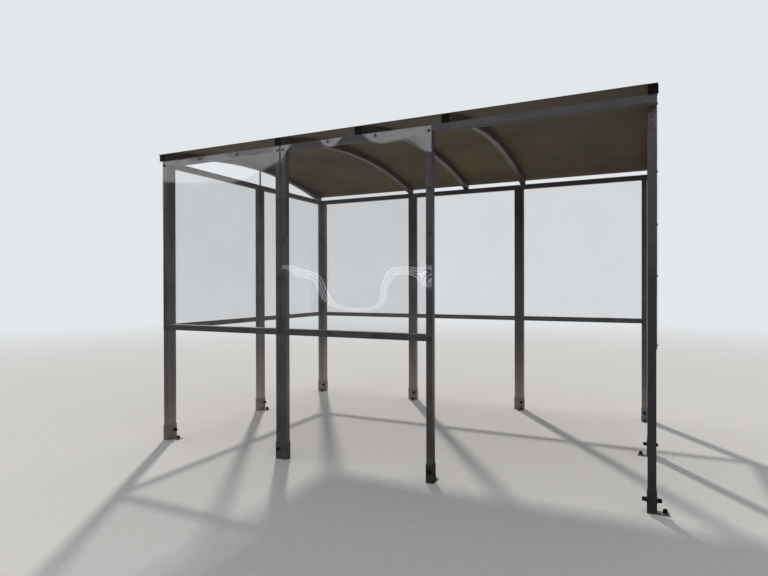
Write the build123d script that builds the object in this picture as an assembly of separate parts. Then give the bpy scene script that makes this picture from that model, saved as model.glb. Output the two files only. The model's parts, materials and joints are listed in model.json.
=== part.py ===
from build123d import *
from math import sqrt
import os

# Open smoking shelter: a frame of square tube with clear sheets, under an arched roof.
# Millimetres, +Z up. The front faces -Y, the entrance bay is at the right of the front.
# Plan sizes count from the outer face of the front left post, along the front and to
# the back. The finished pieces are then moved so that the origin is on the floor, in
# the middle of the whole outline.

# Square tube of the posts, rails and ribs
TUBE = 40.0
TUBE_WALL = 2.0
TUBE_CORNER = 2.5

# Panels: two posts and a mid rail, outer width over both posts
PANEL_WIDTH = 1050.0
JOINT_GAP = 1.0
BACK_CORNER_GAP = 9.0
FRONT_PANELS = 2
BACK_PANELS = 3
SIDE_PANELS = 2

# Heights
TOP_RAIL_TOP = 2043.0
MID_RAIL_TOP = 850.0

# The right side stands back from the front line at the entrance
RIGHT_SETBACK = 80.0

# Clear sheets
SHEET_THICKNESS = 3.0
SHEET_EDGE_MARGIN = 3.0
SHEET_TOP_MARGIN = 4.0

# Roof
RIB_DEPTH = 45.0
RIB_RISE = 145.0
ROOF_THICKNESS = 5.0
ROOF_LEFT_OVERHANG = 25.0
ROOF_RIGHT_OVERHANG = 5.0
ROOF_FRONT_OVERHANG = 16.0
ROOF_JOINT_GAP = 2.0
RIB_CAP_THICKNESS = 4.0
RIB_CAP_MARGIN = 3.0
RIB_CAP_CHAMFER = 1.0

# Feet
SHOE_HEIGHT = 110.0
SHOE_WALL = 3.0
SHOE_PLATE = 4.0
SHOE_CORNER = 3.0
SHOE_TAB_LENGTH = 55.0
SHOE_TAB_WIDTH = 46.0
SHOE_TAB_CORNER = 10.0
ANCHOR_HOLE_DIAMETER = 13.0
ANCHOR_DISTANCE = 36.0

# Plugs in the open ends of the front rail
PLUG_HEAD = 2.0
PLUG_STUB = 12.0
PLUG_CLEARANCE = 0.3

# Entrance bracket and end struts
BRACKET_LEG = 100.0
BRACKET_PLATE = 3.0
BRACKET_MARGIN = 2.0
STRUT_SIDE = 10.0

# Worked out from the sizes above
PANEL_PITCH = PANEL_WIDTH + JOINT_GAP
BACK_START = TUBE + BACK_CORNER_GAP
LENGTH = BACK_START + BACK_PANELS * PANEL_PITCH + TUBE
DEPTH = TUBE + SIDE_PANELS * PANEL_PITCH
POST_TOP = TOP_RAIL_TOP - TUBE
BACK_LINE = DEPTH - TUBE
RIGHT_PANEL_WIDTH = (DEPTH - RIGHT_SETBACK - (SIDE_PANELS - 1) * JOINT_GAP) / SIDE_PANELS
LEFT_END = -ROOF_LEFT_OVERHANG - RIB_CAP_MARGIN
RIGHT_END = LENGTH + SHOE_WALL + SHOE_TAB_LENGTH
ORIGIN = Location((-(LEFT_END + RIGHT_END) / 2, -DEPTH / 2, 0))

os.makedirs("parts", exist_ok=True)


def save(name, *solids):
    """Move the solids of one node to the part's origin and write them."""
    moved = [ORIGIN * solid for solid in solids]
    shape = moved[0] if len(moved) == 1 else Compound(children=moved)
    export_step(shape, f"parts/{name}.step")


def block(x0, x1, y0, y1, z0, z1):
    """A box between two corners."""
    return Pos((x0 + x1) / 2, (y0 + y1) / 2, (z0 + z1) / 2) * Box(x1 - x0, y1 - y0, z1 - z0)


def tube(length):
    """A square tube standing on the plan's zero, rounded along its outer corners."""
    bore = TUBE - 2 * TUBE_WALL
    return extrude(RectangleRounded(TUBE, TUBE, TUBE_CORNER) - Rectangle(bore, bore), length)


def post(x0, y0):
    """An upright tube on its base plate, by the corner nearest the plan's zero."""
    return Pos(x0 + TUBE / 2, y0 + TUBE / 2, SHOE_PLATE) * tube(POST_TOP - SHOE_PLATE)


def rail(start, end, cross, along_x, top):
    """A level tube from start to end, in the line of posts that starts at cross."""
    middle = cross + TUBE / 2
    if along_x:
        return Pos(start, middle, top - TUBE / 2) * Rot(0, 90, 0) * tube(end - start)
    return Pos(middle, start, top - TUBE / 2) * Rot(-90, 0, 0) * tube(end - start)


# Panels along each side: start of each panel, its width and the line it stands on
front_starts = [i * PANEL_PITCH for i in range(FRONT_PANELS)]
back_starts = [BACK_START + i * PANEL_PITCH for i in range(BACK_PANELS)]
left_starts = [TUBE + JOINT_GAP + i * PANEL_PITCH for i in range(SIDE_PANELS)]
right_starts = [RIGHT_SETBACK + i * (RIGHT_PANEL_WIDTH + JOINT_GAP) for i in range(SIDE_PANELS)]
sides = {
    "front": (front_starts, PANEL_WIDTH, 0.0, True, -1),
    "back": (back_starts, PANEL_WIDTH, BACK_LINE, True, 1),
    "left": (left_starts, PANEL_WIDTH, 0.0, False, -1),
    "right": (right_starts, RIGHT_PANEL_WIDTH, LENGTH - TUBE, False, 1),
}

for side, (starts, width, line, along_x, outward) in sides.items():
    rails = []
    sheets = []
    number = 1
    outer_face = line + TUBE if outward > 0 else line - SHEET_THICKNESS
    for start in starts:
        end = start + width
        for edge in (start, end - TUBE):
            upright = post(edge, line) if along_x else post(line, edge)
            save(f"{side}_post_{number}", upright)
            number += 1
        rails.append(rail(start + TUBE, end - TUBE, line, along_x, MID_RAIL_TOP))
        low = start + SHEET_EDGE_MARGIN
        high = end - SHEET_EDGE_MARGIN
        bottom = MID_RAIL_TOP - TUBE
        top = TOP_RAIL_TOP - SHEET_TOP_MARGIN
        if along_x:
            sheets.append(block(low, high, outer_face, outer_face + SHEET_THICKNESS, bottom, top))
        else:
            sheets.append(block(outer_face, outer_face + SHEET_THICKNESS, low, high, bottom, top))
    save(f"{side}_mid_rails", *rails)
    save(f"{side}_clear_sheets", *sheets)

# Top rails: front and back run the full length, the side rails fit between them
save("front_top_rail", rail(0, LENGTH, 0, True, TOP_RAIL_TOP))
save("back_top_rail", rail(0, LENGTH, BACK_LINE, True, TOP_RAIL_TOP))
save("left_top_rail", rail(TUBE, BACK_LINE, 0, False, TOP_RAIL_TOP))
save("right_top_rail", rail(TUBE, BACK_LINE, LENGTH - TUBE, False, TOP_RAIL_TOP))

# End plugs of the front rail: a head over the end and a stub in the bore. The ends of the
# back rail are covered by the side sheets.
plugs = []
for x, turn in ((0, -90), (LENGTH, 90)):
    side = TUBE - 2 * TUBE_WALL - 2 * PLUG_CLEARANCE
    head = extrude(RectangleRounded(TUBE, TUBE, TUBE_CORNER), PLUG_HEAD)
    stub = Pos(0, 0, -PLUG_STUB) * extrude(Rectangle(side, side), PLUG_STUB)
    plugs.append(Pos(x, TUBE / 2, TOP_RAIL_TOP - TUBE / 2) * Rot(0, turn, 0) * (head + stub))
save("front_rail_plugs", *plugs)

# Roof arch: one circle through the outer top edges of the front and back rails
HALF_SPAN = DEPTH / 2
UNDER_RADIUS = (HALF_SPAN ** 2 + RIB_RISE ** 2) / (2 * RIB_RISE)
ARCH_CENTRE = TOP_RAIL_TOP + RIB_RISE - UNDER_RADIUS
RIB_TOP_RADIUS = UNDER_RADIUS + RIB_DEPTH
ROOF_TOP_RADIUS = RIB_TOP_RADIUS + ROOF_THICKNESS


def arch_z(radius, y):
    """Height of a roof circle at a distance y from the front."""
    return ARCH_CENTRE + sqrt(radius ** 2 - (y - HALF_SPAN) ** 2)


def arch_band(low_radius, high_radius, y0, y1, width):
    """A curved band between two roof circles from y0 to y1, width along X."""
    low = ThreePointArc(
        (y0, arch_z(low_radius, y0)), (HALF_SPAN, ARCH_CENTRE + low_radius), (y1, arch_z(low_radius, y1))
    )
    high = ThreePointArc(
        (y1, arch_z(high_radius, y1)), (HALF_SPAN, ARCH_CENTRE + high_radius), (y0, arch_z(high_radius, y0))
    )
    outline = make_face([low, Line(low @ 1, high @ 0), high, Line(high @ 1, low @ 0)])
    return extrude(Plane.YZ * outline, width)


# Rib places along the front rail and along the back rail
rib_places = {
    "left": (-ROOF_LEFT_OVERHANG + TUBE / 2, -ROOF_LEFT_OVERHANG + TUBE / 2),
    "second": (1030.0, 1072.0),
    "middle": (1625.0, 1645.0),
    "fourth": (2181.0, 2180.0),
    "right": (LENGTH + ROOF_RIGHT_OVERHANG - TUBE / 2, LENGTH + ROOF_RIGHT_OVERHANG - TUBE / 2),
}
caps = []


def skewed_strip(front_x, back_x, width, y0, y1):
    """An upright prism between y0 and y1 whose plan runs from front_x to back_x."""
    slope = (back_x - front_x) / DEPTH
    corners = []
    for y, side in ((y0, -0.5), (y0, 0.5), (y1, 0.5), (y1, -0.5)):
        corners.append((front_x + slope * y + side * width, y))
    return Pos(0, 0, TOP_RAIL_TOP) * extrude(make_face(Polyline(*corners, close=True)), 2 * RIB_RISE)


for name, (front_x, back_x) in rib_places.items():
    reach = abs(back_x - front_x) + 2 * TUBE
    start = Pos(min(front_x, back_x) - TUBE, 0, 0)
    outer = start * arch_band(UNDER_RADIUS, RIB_TOP_RADIUS, 0, DEPTH, reach)
    inner = start * arch_band(UNDER_RADIUS + TUBE_WALL, RIB_TOP_RADIUS - TUBE_WALL, 0, DEPTH, reach)
    outer = outer & skewed_strip(front_x, back_x, TUBE, 0, DEPTH)
    inner = inner & skewed_strip(front_x, back_x, TUBE - 2 * TUBE_WALL, 0, DEPTH)
    save(f"{name}_rib", outer - inner)
    cap_top = arch_z(RIB_TOP_RADIUS, -RIB_CAP_THICKNESS)
    half = TUBE / 2 + RIB_CAP_MARGIN
    for x, y0 in ((front_x, -RIB_CAP_THICKNESS), (back_x, DEPTH)):
        cap = block(x - half, x + half, y0, y0 + RIB_CAP_THICKNESS, TOP_RAIL_TOP, cap_top)
        outer_face = cap.faces().sort_by(Axis.Y)[0 if y0 < 0 else -1]
        caps.append(chamfer(outer_face.edges(), RIB_CAP_CHAMFER))
save("rib_end_caps", *caps)

# Roof: two opaque sheets that meet over the middle rib
roof_middle = sum(rib_places["middle"]) / 2
roof_ends = (-ROOF_LEFT_OVERHANG, LENGTH + ROOF_RIGHT_OVERHANG)
left_width = roof_middle - ROOF_JOINT_GAP / 2 - roof_ends[0]
right_start = roof_middle + ROOF_JOINT_GAP / 2
for name, start, width in (
    ("left_roof_sheet", roof_ends[0], left_width),
    ("right_roof_sheet", right_start, roof_ends[1] - right_start),
):
    y0 = -ROOF_FRONT_OVERHANG
    y1 = DEPTH + ROOF_FRONT_OVERHANG
    save(name, Pos(start, 0, 0) * arch_band(RIB_TOP_RADIUS, ROOF_TOP_RADIUS, y0, y1, width))

# Struts between the side rails and the end ribs, over the first post of the second side
# panels, where rail and rib overlap
struts = []
for low, high, upright in (
    (0.0, TUBE - ROOF_LEFT_OVERHANG, left_starts[1]),
    (LENGTH - TUBE + ROOF_RIGHT_OVERHANG, LENGTH, right_starts[1]),
):
    x0 = (low + high - STRUT_SIDE) / 2
    y0 = upright + (TUBE - STRUT_SIDE) / 2
    top = min(arch_z(UNDER_RADIUS, y0), arch_z(UNDER_RADIUS, y0 + STRUT_SIDE))
    struts.append(block(x0, x0 + STRUT_SIDE, y0, y0 + STRUT_SIDE, TOP_RAIL_TOP, top))
save("end_struts", *struts)

# Bracket that carries the front rail on the set back entrance post
bracket_left = LENGTH - TUBE + BRACKET_MARGIN
bracket_right = LENGTH - BRACKET_MARGIN
upright_leg = block(
    bracket_left, bracket_right,
    RIGHT_SETBACK - BRACKET_PLATE, RIGHT_SETBACK,
    POST_TOP - BRACKET_LEG, POST_TOP,
)
level_leg = block(bracket_left, bracket_right, 0, RIGHT_SETBACK, POST_TOP - BRACKET_PLATE, POST_TOP)
save("entrance_bracket", upright_leg + level_leg)


def shoe_tab():
    """A rounded tab that points along +X from the plan's zero, with its anchor hole."""
    plate = block(0, SHOE_TAB_LENGTH, -SHOE_TAB_WIDTH / 2, SHOE_TAB_WIDTH / 2, 0, SHOE_PLATE)
    plate = fillet(plate.edges().filter_by(Axis.Z).group_by(Axis.X)[-1], SHOE_TAB_CORNER)
    hole = Cylinder(ANCHOR_HOLE_DIAMETER / 2, SHOE_PLATE)
    return plate - Pos(ANCHOR_DISTANCE, 0, SHOE_PLATE / 2) * hole


def shoe(x0, x1, y0, y1, side, bolted):
    """A foot: a sleeve around the posts, a base plate, and a tab on one side of it that is
    in line with the bolted post, whose middle is given along that side."""
    wall = 2 * SHOE_WALL
    sleeve = extrude(RectangleRounded(x1 - x0 + wall, y1 - y0 + wall, SHOE_CORNER), SHOE_HEIGHT)
    sleeve -= Pos(0, 0, SHOE_PLATE) * extrude(Rectangle(x1 - x0, y1 - y0), SHOE_HEIGHT)
    root = {
        "right": Pos(x1 + SHOE_WALL, bolted, 0),
        "back": Pos(bolted, y1 + SHOE_WALL, 0) * Rot(0, 0, 90),
        "left": Pos(x0 - SHOE_WALL, bolted, 0) * Rot(0, 0, 180),
        "front": Pos(bolted, y0 - SHOE_WALL, 0) * Rot(0, 0, 270),
    }[side]
    return Pos((x0 + x1) / 2, (y0 + y1) / 2, 0) * sleeve + root * shoe_tab()


front_end = front_starts[-1] + PANEL_WIDTH
back_joints = [start - JOINT_GAP / 2 for start in back_starts[1:]]
side_joint_left = left_starts[1] - JOINT_GAP / 2
side_joint_right = right_starts[1] - JOINT_GAP / 2
pair = TUBE + JOINT_GAP / 2
half = TUBE / 2
front_joint = front_starts[1] - JOINT_GAP / 2
save(
    "front_shoes",
    shoe(0, TUBE, 0, 2 * TUBE + JOINT_GAP, "right", left_starts[0] + half),
    shoe(front_joint - pair, front_joint + pair, 0, TUBE, "back", front_joint - pair + half),
    shoe(front_end - TUBE, front_end, 0, TUBE, "back", front_end - half),
    shoe(LENGTH - TUBE, LENGTH, RIGHT_SETBACK, RIGHT_SETBACK + TUBE, "right", RIGHT_SETBACK + half),
)
save(
    "side_shoes",
    shoe(0, TUBE, side_joint_left - pair, side_joint_left + pair, "right", left_starts[1] + half),
    shoe(
        LENGTH - TUBE, LENGTH, side_joint_right - pair, side_joint_right + pair,
        "left", side_joint_right - pair + half,
    ),
)
save(
    "back_shoes",
    shoe(0, BACK_START + TUBE, BACK_LINE, DEPTH, "front", BACK_START + half),
    *[
        shoe(joint - pair, joint + pair, BACK_LINE, DEPTH, "front", joint + pair - half)
        for joint in back_joints
    ],
    shoe(LENGTH - 2 * TUBE - JOINT_GAP, LENGTH, BACK_LINE, DEPTH, "front", LENGTH - TUBE - JOINT_GAP - half),
)
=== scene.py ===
import json
import math
import random

import bpy
from mathutils import Matrix, Vector

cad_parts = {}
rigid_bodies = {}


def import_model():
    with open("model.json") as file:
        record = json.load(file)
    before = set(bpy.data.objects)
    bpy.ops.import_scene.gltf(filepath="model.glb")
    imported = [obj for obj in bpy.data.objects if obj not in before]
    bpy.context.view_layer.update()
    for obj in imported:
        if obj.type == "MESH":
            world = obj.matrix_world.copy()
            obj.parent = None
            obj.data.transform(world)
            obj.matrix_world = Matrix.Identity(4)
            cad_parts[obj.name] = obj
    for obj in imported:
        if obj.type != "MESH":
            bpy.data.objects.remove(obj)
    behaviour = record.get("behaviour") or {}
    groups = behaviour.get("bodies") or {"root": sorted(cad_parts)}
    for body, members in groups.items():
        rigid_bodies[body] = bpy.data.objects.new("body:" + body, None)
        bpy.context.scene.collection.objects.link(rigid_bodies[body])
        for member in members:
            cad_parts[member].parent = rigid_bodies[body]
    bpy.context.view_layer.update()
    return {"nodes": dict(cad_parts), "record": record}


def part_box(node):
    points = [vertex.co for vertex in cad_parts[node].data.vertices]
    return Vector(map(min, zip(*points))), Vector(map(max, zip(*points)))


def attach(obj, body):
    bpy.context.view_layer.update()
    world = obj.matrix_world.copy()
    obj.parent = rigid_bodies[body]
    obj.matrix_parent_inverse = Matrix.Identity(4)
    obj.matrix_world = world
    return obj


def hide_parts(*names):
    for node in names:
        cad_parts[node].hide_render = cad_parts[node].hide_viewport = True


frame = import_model()
nodes = frame["nodes"]

# ---------------------------------------------------------------------------
# Camera and studio
# The camera stands 1.13 m above the floor, outside the entrance bay, and looks to the
# left along the shelter. A pale floor runs out into a pale sweep. The key light is a low
# soft lamp behind the shelter, so that its shadows fall to the front.
# ---------------------------------------------------------------------------
bpy.context.scene.view_settings.view_transform = "Standard"

camera_data = bpy.data.cameras.new("camera")
camera_data.sensor_width = 36.0
camera_data.lens = 25.6645
camera_data.clip_end = 200.0
camera = bpy.data.objects.new("camera", camera_data)
bpy.context.scene.collection.objects.link(camera)
camera.matrix_world = (
    Matrix.Translation((1.5622, -3.9945, 1.1284))
    @ Matrix.Rotation(0.4472, 4, "Z")
    @ Matrix.Rotation(math.pi / 2 - 0.00422, 4, "X")
    @ Matrix.Rotation(-0.00216, 4, "Z")
)
bpy.context.scene.camera = camera


def linear(hex_colour):
    """An sRGB hex colour as linear red, green, blue and 1."""
    channels = [int(hex_colour[i:i + 2], 16) / 255 for i in (1, 3, 5)]
    powers = [c / 12.92 if c <= 0.04045 else ((c + 0.055) / 1.055) ** 2.4 for c in channels]
    return powers + [1.0]


def add_node(tree, kind, inputs=None, **settings):
    """Add one shader node with its settings. An input takes a value or another's output."""
    node = tree.nodes.new("ShaderNode" + kind)
    for name, value in settings.items():
        setattr(node, name, value)
    for name, value in (inputs or {}).items():
        if isinstance(value, bpy.types.NodeSocket):
            tree.links.new(value, node.inputs[name])
        else:
            node.inputs[name].default_value = value
    return node


def new_material(name):
    """An empty node material and its output node."""
    material = bpy.data.materials.new(name)
    material.use_nodes = True
    material.node_tree.nodes.clear()
    output = add_node(material.node_tree, "OutputMaterial")
    return material, material.node_tree, output


def deselect_all():
    """Leave nothing selected and no object active."""
    for thing in list(bpy.context.selected_objects):
        thing.select_set(False)
    bpy.context.view_layer.objects.active = None


deselect_all()
bpy.ops.mesh.primitive_grid_add(x_subdivisions=24, y_subdivisions=24, size=120.0)
floor = bpy.context.active_object
floor.name = "studio_floor"

BACKDROP = "#E3E7EA"
floor_material, tree, output = new_material("pale_floor")
coords = add_node(tree, "TexCoord").outputs["Object"]
speckle = add_node(tree, "TexNoise", {"Vector": coords, "Scale": 25.0, "Detail": 6.0})
tone = add_node(tree, "ValToRGB", {"Fac": speckle.outputs["Fac"]})
tone.color_ramp.elements[0].color = linear("#CFCCC8")
tone.color_ramp.elements[1].color = linear("#DCDAD7")
matt = add_node(tree, "BsdfDiffuse", {"Color": tone.outputs["Color"]})
# far out the floor takes the sweep's own brightness, so that no edge shows
distance = add_node(tree, "VectorMath", {0: coords}, operation="LENGTH")
far = add_node(
    tree, "MapRange",
    {"Value": distance.outputs["Value"], "From Min": 4.5, "From Max": 15.0},
    interpolation_type="SMOOTHSTEP",
)
sweep = add_node(tree, "Emission", {"Color": linear(BACKDROP), "Strength": 1.0})
seen_floor = add_node(
    tree, "MixShader",
    {0: far.outputs["Result"], 1: matt.outputs["BSDF"], 2: sweep.outputs["Emission"]},
)
# what shines, and what is lit from below, gets a floor with painted light and shade: a painted
# sunlit pale floor to the left and at the back, which fades out 4 m away but for a part of it
# behind, and a painted shaded dark floor elsewhere
sunlit = add_node(tree, "BsdfDiffuse", {"Color": linear("#FBF3E8")})
painted_shade_floor = add_node(tree, "BsdfDiffuse", {"Color": linear("#2F2D2B")})
plan = add_node(tree, "SeparateXYZ", {"Vector": coords})
# the key light comes from the back left: a metre to the left counts as half a metre back
SUNWARD = -0.536
backward = add_node(
    tree, "Math",
    {0: plan.outputs["X"], 1: SUNWARD, 2: plan.outputs["Y"]},
    operation="MULTIPLY_ADD",
)
to_back = add_node(
    tree, "MapRange",
    {"Value": backward.outputs["Value"], "From Min": -0.85, "From Max": 0.15},
    interpolation_type="SMOOTHSTEP",
)
close_by = add_node(
    tree, "MapRange",
    {
        "Value": distance.outputs["Value"], "From Min": 3.2, "From Max": 4.6, "To Min": 1.0,
        "To Max": 0.0,
    },
    interpolation_type="SMOOTHSTEP",
)
far_behind = add_node(
    tree, "MapRange",
    {"Value": plan.outputs["Y"], "From Min": 1.6, "From Max": 3.4, "To Max": 0.65},
    interpolation_type="SMOOTHSTEP",
)
near = add_node(
    tree, "Math",
    {0: close_by.outputs["Result"], 1: far_behind.outputs["Result"]},
    operation="MAXIMUM",
)
sunny = add_node(
    tree, "Math", {0: to_back.outputs["Result"], 1: near.outputs["Value"]}, operation="MULTIPLY"
)
unseen_floor = add_node(
    tree, "MixShader",
    {0: sunny.outputs["Value"], 1: painted_shade_floor.outputs["BSDF"], 2: sunlit.outputs["BSDF"]},
)
path = add_node(tree, "LightPath")
bounced = add_node(
    tree, "Math",
    {0: path.outputs["Is Glossy Ray"], 1: path.outputs["Is Diffuse Ray"]},
    operation="MAXIMUM",
)
floor_mix = add_node(
    tree, "MixShader",
    {
        0: bounced.outputs["Value"], 1: seen_floor.outputs["Shader"],
        2: unseen_floor.outputs["Shader"],
    },
)
tree.links.new(floor_mix.outputs["Shader"], output.inputs["Surface"])
floor.data.materials.append(floor_material)

# The world: pale to the eye, softer as a lamp, and for what shines an open sky above a
# dark skyline, with a low row of bright lines to the front of the shelter
SKYLINE = math.sin(math.radians(13.0))
world = bpy.data.worlds.new("studio")
bpy.context.scene.world = world
world.use_nodes = True
tree = world.node_tree
tree.nodes.clear()
output = add_node(tree, "OutputWorld")
path = add_node(tree, "LightPath")
direction = add_node(
    tree, "SeparateXYZ", {"Vector": add_node(tree, "TexCoord").outputs["Generated"]}
)
above = add_node(
    tree, "MapRange",
    {"Value": direction.outputs["Z"], "From Min": SKYLINE - 0.004, "From Max": SKYLINE + 0.004},
)
# the sky is brightest low down, dim to the right of the front and brighter full right
high_up = add_node(
    tree, "MapRange",
    {
        "Value": direction.outputs["Z"], "From Min": 0.39, "From Max": 0.50, "To Min": 1.0,
        "To Max": 0.22,
    },
)
rightward = add_node(
    tree, "Math",
    {0: direction.outputs["Y"], 1: -0.25, 2: direction.outputs["X"]},
    operation="MULTIPLY_ADD",
)
to_right = add_node(
    tree, "MapRange",
    {
        "Value": rightward.outputs["Value"], "From Min": -0.07, "From Max": 0.07, "To Min": 1.0,
        "To Max": 0.2,
    },
)
behind = add_node(
    tree, "MapRange", {"Value": direction.outputs["Y"], "From Min": -0.1, "From Max": 0.1}
)
full_right = add_node(
    tree, "MapRange",
    {"Value": direction.outputs["X"], "From Min": 0.72, "From Max": 0.92, "To Max": 0.8},
)
openness = add_node(
    tree, "Math", {0: to_right.outputs["Result"], 1: behind.outputs["Result"]}, operation="MAXIMUM"
)
openness = add_node(
    tree, "Math",
    {0: openness.outputs["Value"], 1: full_right.outputs["Result"]},
    operation="MAXIMUM",
)
sky = add_node(
    tree, "Math", {0: above.outputs["Result"], 1: high_up.outputs["Result"]}, operation="MULTIPLY"
)
sky = add_node(
    tree, "Math", {0: sky.outputs["Value"], 1: openness.outputs["Value"]}, operation="MULTIPLY"
)
# four thin bright lines, an even step apart about a low middle height
LINES_HEIGHT = math.radians(1.2)
LINES_HALF_BAND = math.radians(0.68)
LINES_STEP = math.radians(0.35)
height = add_node(
    tree, "Math", {0: direction.outputs["Z"], 1: math.sin(LINES_HEIGHT)}, operation="SUBTRACT"
)
turns = add_node(
    tree, "Math", {0: height.outputs["Value"], 1: 2 * math.pi / LINES_STEP}, operation="MULTIPLY"
)
ripple = add_node(tree, "Math", {0: turns.outputs["Value"]}, operation="COSINE")
lines = add_node(
    tree, "MapRange",
    {"Value": ripple.outputs["Value"], "From Min": 0.1, "From Max": -0.5, "To Max": 1.7},
)
off_centre = add_node(tree, "Math", {0: height.outputs["Value"]}, operation="ABSOLUTE")
in_band = add_node(
    tree, "Math", {0: off_centre.outputs["Value"], 1: LINES_HALF_BAND}, operation="LESS_THAN"
)
# they reach over a part of the front, given as the slope of the bearing
LINES_BEARING = 0.50
LINES_REACH = 0.22
bearing = add_node(
    tree, "Math", {0: direction.outputs["X"], 1: direction.outputs["Y"]}, operation="DIVIDE"
)
bearing_off = add_node(
    tree, "Math", {0: bearing.outputs["Value"], 1: LINES_BEARING}, operation="SUBTRACT"
)
bearing_off = add_node(tree, "Math", {0: bearing_off.outputs["Value"]}, operation="ABSOLUTE")
in_reach = add_node(
    tree, "Math", {0: bearing_off.outputs["Value"], 1: LINES_REACH}, operation="LESS_THAN"
)
bright = add_node(
    tree, "Math", {0: lines.outputs["Result"], 1: in_band.outputs["Value"]}, operation="MULTIPLY"
)
bright = add_node(
    tree, "Math", {0: bright.outputs["Value"], 1: in_reach.outputs["Value"]}, operation="MULTIPLY"
)
bright = add_node(
    tree, "Math", {0: bright.outputs["Value"], 1: sky.outputs["Value"]}, operation="MAXIMUM"
)
mirrored = add_node(
    tree, "Math", {0: bright.outputs["Value"], 1: 1.6, 2: 0.05}, operation="MULTIPLY_ADD"
)
lamp = add_node(tree, "Background", {"Color": linear("#F2F5FA"), "Strength": 0.6})
shine = add_node(
    tree, "Background", {"Color": linear("#F4F6FA"), "Strength": mirrored.outputs["Value"]}
)
backdrop = add_node(tree, "Background", {"Color": linear(BACKDROP), "Strength": 1.0})
straight = add_node(
    tree, "Math",
    {0: path.outputs["Is Camera Ray"], 1: path.outputs["Is Transmission Ray"]},
    operation="MAXIMUM",
)
mix = add_node(
    tree, "MixShader",
    {
        0: straight.outputs["Value"], 1: lamp.outputs["Background"],
        2: backdrop.outputs["Background"],
    },
)
mix = add_node(
    tree, "MixShader",
    {0: path.outputs["Is Glossy Ray"], 1: mix.outputs["Shader"], 2: shine.outputs["Background"]},
)
tree.links.new(mix.outputs["Shader"], output.inputs["Surface"])

key_data = bpy.data.lights.new("low_key", "SUN")
key_data.energy = 2.2
key_data.angle = math.radians(3.0)
key_data.color = (1.0, 0.97, 0.92)
key = bpy.data.objects.new("low_key", key_data)
bpy.context.scene.collection.objects.link(key)
# the lamp stands at the back left, 0.65 radians above the floor
KEY_HEIGHT = 0.65
key_reach = math.cos(KEY_HEIGHT)
key_from = Vector((-0.549 * key_reach, 0.836 * key_reach, math.sin(KEY_HEIGHT)))
key.rotation_mode = "QUATERNION"
key.rotation_quaternion = key_from.to_track_quat("Z", "Y")

# ---------------------------------------------------------------------------
# Feet
# Each foot is a sleeve and base plate of folded and welded steel, zinc plated. A tab on
# one side takes the anchor bolt, and a through bolt holds the posts in the sleeve. The
# bolt heads wear black plastic caps.
# ---------------------------------------------------------------------------
# Zinc plated mild steel: a dull even grey with faint spangle, paler near the floor with dust and
# painted light, and with painted shade on the feet by the entrance
zinc, tree, output = new_material("zinc_plated_steel")
coords = add_node(tree, "TexCoord").outputs["Object"]
# spangle: crystals of about 6 mm
spangle = add_node(tree, "TexVoronoi", {"Vector": coords, "Scale": 160.0})
grey = add_node(tree, "SeparateColor", {"Color": spangle.outputs["Color"]})
clouds = add_node(
    tree, "TexNoise", {"Vector": coords, "Scale": 14.0, "Detail": 6.0, "Roughness": 0.65}
)
tone = add_node(tree, "ValToRGB", {"Fac": clouds.outputs["Fac"]}, name="zinc_tone")
tone.color_ramp.elements[0].position = 0.3
tone.color_ramp.elements[0].color = linear("#5F5C5A")
tone.color_ramp.elements[1].position = 0.72
tone.color_ramp.elements[1].color = linear("#7B7874")
flecked = add_node(
    tree, "Mix",
    {0: 0.14, 6: tone.outputs["Color"], 7: spangle.outputs["Color"]},
    data_type="RGBA", blend_type="SOFT_LIGHT",
)
# painted shade: the feet by the entrance, at the front right, are painted dark low down
place = add_node(tree, "SeparateXYZ", {"Vector": coords})
side = add_node(
    tree, "Math",
    {0: place.outputs["X"], 1: SUNWARD, 2: place.outputs["Y"]},
    operation="MULTIPLY_ADD",
)
entrance_feet_shade = add_node(
    tree, "MapRange",
    {
        "Value": side.outputs["Value"], "From Min": -1.2, "From Max": -0.9, "To Min": 0.42,
        "To Max": 0.0,
    },
)
low = add_node(
    tree, "MapRange",
    {"Value": place.outputs["Z"], "From Min": 0.12, "From Max": 0.3, "To Min": 1.0, "To Max": 0.0},
)
painted_feet_shade = add_node(
    tree, "Math", {0: entrance_feet_shade.outputs["Result"], 1: low.outputs["Result"]}, operation="MULTIPLY"
)
feet_shade_colour = add_node(
    tree, "Mix",
    {0: painted_feet_shade.outputs["Value"], 6: flecked.outputs[2], 7: linear("#201F1E")},
    data_type="RGBA",
)
# the others are paler low down, most on the lowest 80 mm: partly concrete dust splashed up them,
# partly painted light from the sunlit floor
dusty_sunlit_side = add_node(
    tree, "MapRange", {"Value": side.outputs["Value"], "From Min": -1.2, "From Max": 0.0}
)
low = add_node(
    tree, "MapRange", {"Value": place.outputs["Z"], "From Max": 0.16, "To Min": 1.0, "To Max": 0.2}
)
splash = add_node(tree, "TexNoise", {"Vector": coords, "Scale": 90.0, "Detail": 5.0})
dust = add_node(
    tree, "Math", {0: low.outputs["Result"], 1: dusty_sunlit_side.outputs["Result"]}, operation="MULTIPLY"
)
dust = add_node(
    tree, "Math", {0: dust.outputs["Value"], 1: splash.outputs["Fac"]}, operation="MULTIPLY"
)
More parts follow.
